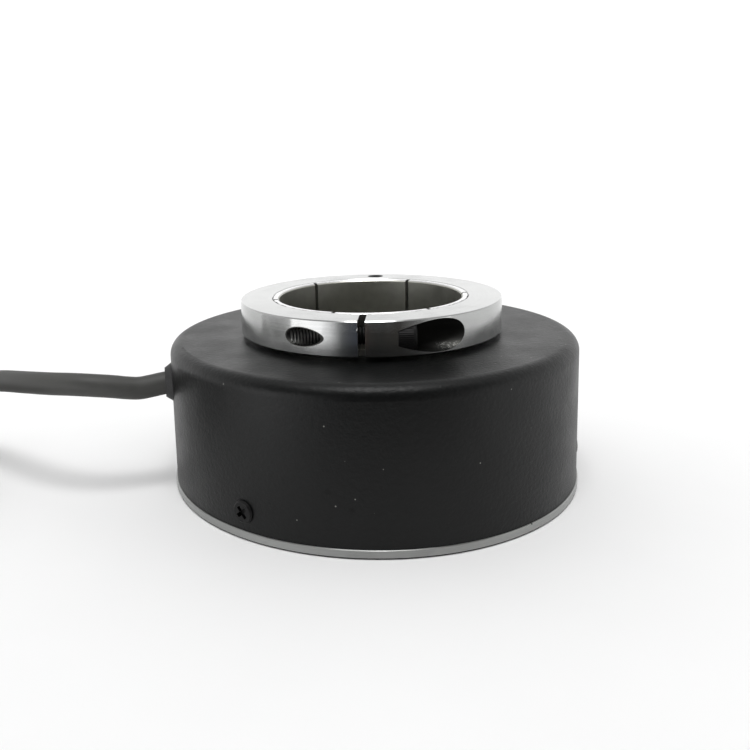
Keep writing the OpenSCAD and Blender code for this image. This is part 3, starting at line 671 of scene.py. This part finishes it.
def add_ring_thread():
    """The thread in the clamp ring, from the screw's tip out to the ring's rim."""
    steps = 24
    start_x, end_x = SCREW_SEAT_X - SCREW_LEN - 0.1 * MM, -17.5 * MM
    count = ceil((start_x - end_x) / M4_PITCH * steps)
    base_r, crest_r = M4_R + 0.01 * MM, 1.6 * MM
    profile = [(-0.36, base_r), (-0.04, crest_r), (0.04, crest_r), (0.36, base_r)]
    points, inside = [], []
    for i in range(count + 1):
        angle = tau * i / steps
        x = start_x - M4_PITCH * i / steps
        for shift, r in profile:
            place = (x + shift * M4_PITCH, CHORD_Y + r * cos(angle), RING_MID_Z + r * sin(angle))
            points.append(rotor_point(*place))
        inside.append(hypot(x, CHORD_Y + base_r * cos(angle)) < RING_R - 0.05 * MM)
    faces = []
    for i in range(count):
        if inside[i] and inside[i + 1]:
            for j in range(len(profile) - 1):
                a, b = i * len(profile) + j, (i + 1) * len(profile) + j
                faces.append((a, a + 1, b + 1, b))
    cut_metal = satin_metal("thread_metal", (0.4, 0.4, 0.39), 0.3)
    thread = mesh_piece("ring_thread", points, faces, [cut_metal], "rotor", smooth=False)


def add_slit_burrs():
    """Fine lips along the slit's edges, on the top face and down the rim.

    The left one is ragged where it goes over the rim.
    """
    rng = random.Random(4)
    lip, count = 0.22 * MM, 48
    for side in (-1, 1):
        edge = side * (SLIT_W / 2 + 0.01 * MM)
        stations = []
        for i in range(count + 1):
            t = i / count
            out = mix(24.3 * MM, RING_R, min(1, 2 * t))
            height = RING_TOP - 7.8 * MM * max(0, 2 * t - 1)
            stations.append((out, height, t <= 0.5))
        points, faces = [], []
        for out, height, on_top in stations:
            ragged = side < 0 and out > 29 * MM and height > RING_TOP - 2.4 * MM
            size = (lip * rng.random() if ragged else 0) + 0.01 * MM
            rise = Vector((0, 0, size)) if on_top else Vector((0, -size, 0))
            foot = Vector((edge, -out, height))
            inset = Vector((side * size * 1.2, 0, 0))
            for corner in (foot - rise * 0.3, foot + rise, foot + inset - rise * 0.1):
                turned = Matrix.Rotation(SLIT_TURN, 3, "Z") @ corner
                points.append(rotor_point(*turned))
        faces = grid_faces(len(stations), 3, close_columns=True)
        faces += [(2, 1, 0), tuple(len(points) - 3 + corner for corner in range(3))]
        burr = mesh_piece(f"slit_burr_{'left' if side < 0 else 'right'}", points, faces,
                          [MATERIALS["ring_aluminium"]], "rotor", smooth=False)


def add_clamp_screw():
    """Socket-head M4 screw: knurled head, hexagon socket, rolled thread."""
    head_h, head_r, key_half, sides = 4 * MM, 3.5 * MM, 1.5 * MM, 96
    knurl = 0.07 * MM

    def ring_of(x, r, cut=0.0, hexagon=False):
        points = []
        for i in range(sides):
            angle = tau * i / sides
            edge = r - cut * (i % 2)
            if hexagon:
                edge = r / cos((angle + pi / 6) % (pi / 3) - pi / 6)
            points.append(rotor_point(x, CHORD_Y + edge * cos(angle), RING_MID_Z + edge * sin(angle)))
        return points

    tip_x = SCREW_SEAT_X - SCREW_LEN
    top_x = SCREW_SEAT_X + head_h
    rows = [ring_of(tip_x, 1.3 * MM), ring_of(tip_x + 0.5 * MM, 1.7 * MM)]
    threads = 19
    for i in range(threads):
        x = tip_x + 0.6 * MM + M4_PITCH * i
        rows += [ring_of(x, 1.62 * MM), ring_of(x + 0.3 * MM, 1.93 * MM), ring_of(x + 0.4 * MM, 1.93 * MM)]
    rows += [ring_of(SCREW_SEAT_X - 0.4 * MM, 1.9 * MM), ring_of(SCREW_SEAT_X, 1.93 * MM),
             ring_of(SCREW_SEAT_X + 0.02 * MM, head_r - 0.1 * MM),
             ring_of(SCREW_SEAT_X + 0.15 * MM, head_r, knurl),
             ring_of(top_x - 0.75 * MM, head_r, knurl), ring_of(top_x - 0.65 * MM, head_r - 0.1 * MM),
             ring_of(top_x - 0.4 * MM, head_r - 0.06 * MM), ring_of(top_x - 0.12 * MM, head_r - 0.2 * MM),
             ring_of(top_x, head_r - 0.45 * MM), ring_of(top_x, 1.95 * MM),
             ring_of(top_x - 0.15 * MM, key_half, hexagon=True),
             ring_of(top_x - 2 * MM, key_half, hexagon=True),
             ring_of(top_x - 2.6 * MM, 0.05 * MM)]
    points = [p for row in rows for p in row]
    faces = grid_faces(len(rows), sides, close_columns=True)
    screw = mesh_piece("clamp_screw_detail", points, faces, [MATERIALS["black_screw"]], "rotor",
                       smooth=False)
    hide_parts("clamp_screw")


# ---- Studio ----

def add_floor():
    """A plain pale table top."""
    s = Surface("table_top", (0.9, 0.9, 0.9), 0.8, Specular_IOR_Level=0.0)
    cloud = s.noise(60 * MM, 3)
    s.link(s.blend_colors(s.spread(cloud, 0.3, 0.7, 0, 1), (0.90, 0.90, 0.90), (0.88, 0.88, 0.88)),
           "Base Color")
    s.bump(s.noise(0.8 * MM, 3), 0.01 * MM, 0.3)
    data = bpy.data.meshes.new("table_top")
    reach = 4
    data.from_pydata([(-reach, -reach, 0), (reach, -reach, 0), (reach, reach, 0), (-reach, reach, 0)],
                     [], [(0, 1, 2, 3)])
    data.materials.append(s.material)
    table = bpy.data.objects.new("table_top", data)
    bpy.context.scene.collection.objects.link(table)


def add_lamp(name, kind, place, power, **settings):
    """A lamp at a place in the clamp ring's directions, aimed at the middle of the flange's underside."""
    data = bpy.data.lights.new(name, kind)
    data.energy = power
    for key, value in settings.items():
        setattr(data, key, value)
    lamp = bpy.data.objects.new(name, data)
    lamp.location = rotor_point(*place)
    lamp.rotation_euler = (-lamp.location).to_track_quat("-Z", "Y").to_euler()
    bpy.context.scene.collection.objects.link(lamp)


def stage_sheet(name, rings, material):
    """Part of a surface about the shaft axis on the near side; rings are (radius, height).

    The camera doesn't see it.
    """
    steps = 36
    points = []
    for i in range(steps + 1):
        angle = mix(-1.15, 1.15, i / steps)
        points += [(far * sin(angle), -far * cos(angle), height) for far, height in rings]
    data = bpy.data.meshes.new(name)
    data.from_pydata(points, [], grid_faces(steps + 1, len(rings)))
    data.materials.append(material)
    sheet = bpy.data.objects.new(name, data)
    sheet.rotation_euler.z = ROTOR_ANGLE
    sheet.visible_camera = False
    bpy.context.scene.collection.objects.link(sheet)
    return sheet


def add_dark_screens():
    """A dim screen that shades the near side, and a glowing sheet, seen only in reflections, that paints
    what bright metal mirrors there: dark in front, bright to the sides.
    """
    # Painted reflection: this sheet glows, only glossy rays see it, and its tones by angle are the
    # reflections on the clamp ring's side
    s = Surface("reflection_glow_sheet", (0.02, 0.02, 0.02), 0.9, Specular_IOR_Level=0.0, Emission_Strength=2.4)
    x, y, _ = s.split()
    angle = s.node("ShaderNodeMath", {0: x, 1: s.math("MULTIPLY", y, -1.0)}, operation="ARCTAN2")
    tones = s.node("ShaderNodeValToRGB", {"Fac": s.spread(angle.outputs[0], -1.2, 1.2, 0, 1)})
    stops = [(0.0, (1.0, 1.0, 1.0)), (0.22, (0.9, 0.9, 0.91)), (0.34, (0.07, 0.073, 0.075)),
             (0.43, (0.010, 0.013, 0.024)), (0.475, (0.030, 0.014, 0.009)), (0.5, (0.014, 0.013, 0.012)),
             (0.55, (0.010, 0.010, 0.009)), (0.66, (0.016, 0.014, 0.012)), (0.8, (0.12, 0.12, 0.12)),
             (1.0, (0.9, 0.9, 0.9))]
    ramp = tones.color_ramp
    while len(ramp.elements) < len(stops):
        ramp.elements.new(0.5)
    for element, (place, color) in zip(ramp.elements, stops):
        element.position = place
        element.color = (*color, 1)
    s.link(tones.outputs["Color"], "Emission Color")
    plain = Surface("dark_screen", (0.05, 0.05, 0.05), 0.9)
    stage_sheet("dark_screen", ((0.30, 0.12), (0.30, 0.42)), plain.material)
    mirrored = stage_sheet("reflection_glow_sheet", ((0.135, 0.0008), (0.30, 0.001), (0.30, 0.12)), s.material)
    mirrored.visible_diffuse = False
    mirrored.visible_shadow = False


def add_light():
    """A white tent whose walls are brighter than its top, a soft box, and a lamp above the near side."""
    world = bpy.data.worlds.new("studio")
    world.use_nodes = True
    nodes, links = world.node_tree.nodes, world.node_tree.links
    toward = nodes.new("ShaderNodeSeparateXYZ")
    links.new(nodes.new("ShaderNodeTexCoord").outputs["Generated"], toward.inputs[0])
    tent = nodes.new("ShaderNodeMapRange")
    for socket, value in (("From Min", 0), ("From Max", 1), ("To Min", 1.48), ("To Max", 0.53)):
        tent.inputs[socket].default_value = value
    links.new(toward.outputs["Z"], tent.inputs["Value"])
    nodes["Background"].inputs["Color"].default_value = (1, 1, 1, 1)
    links.new(tent.outputs["Result"], nodes["Background"].inputs["Strength"])
    bpy.context.scene.world = world
    add_lamp("soft_box", "AREA", (0, -0.25, 0.8), 0.5, shape="RECTANGLE", size=0.5, size_y=0.4)
    add_lamp("key_light", "SUN", (0, -0.20, 0.9), 1.35, angle=radians(25))
    bpy.context.scene.view_settings.view_transform = "Standard"


add_camera()
add_cable()
finish_cad_nodes()
add_ring_thread()
add_slit_burrs()
add_clamp_screw()
add_floor()
add_dark_screens()
add_light()
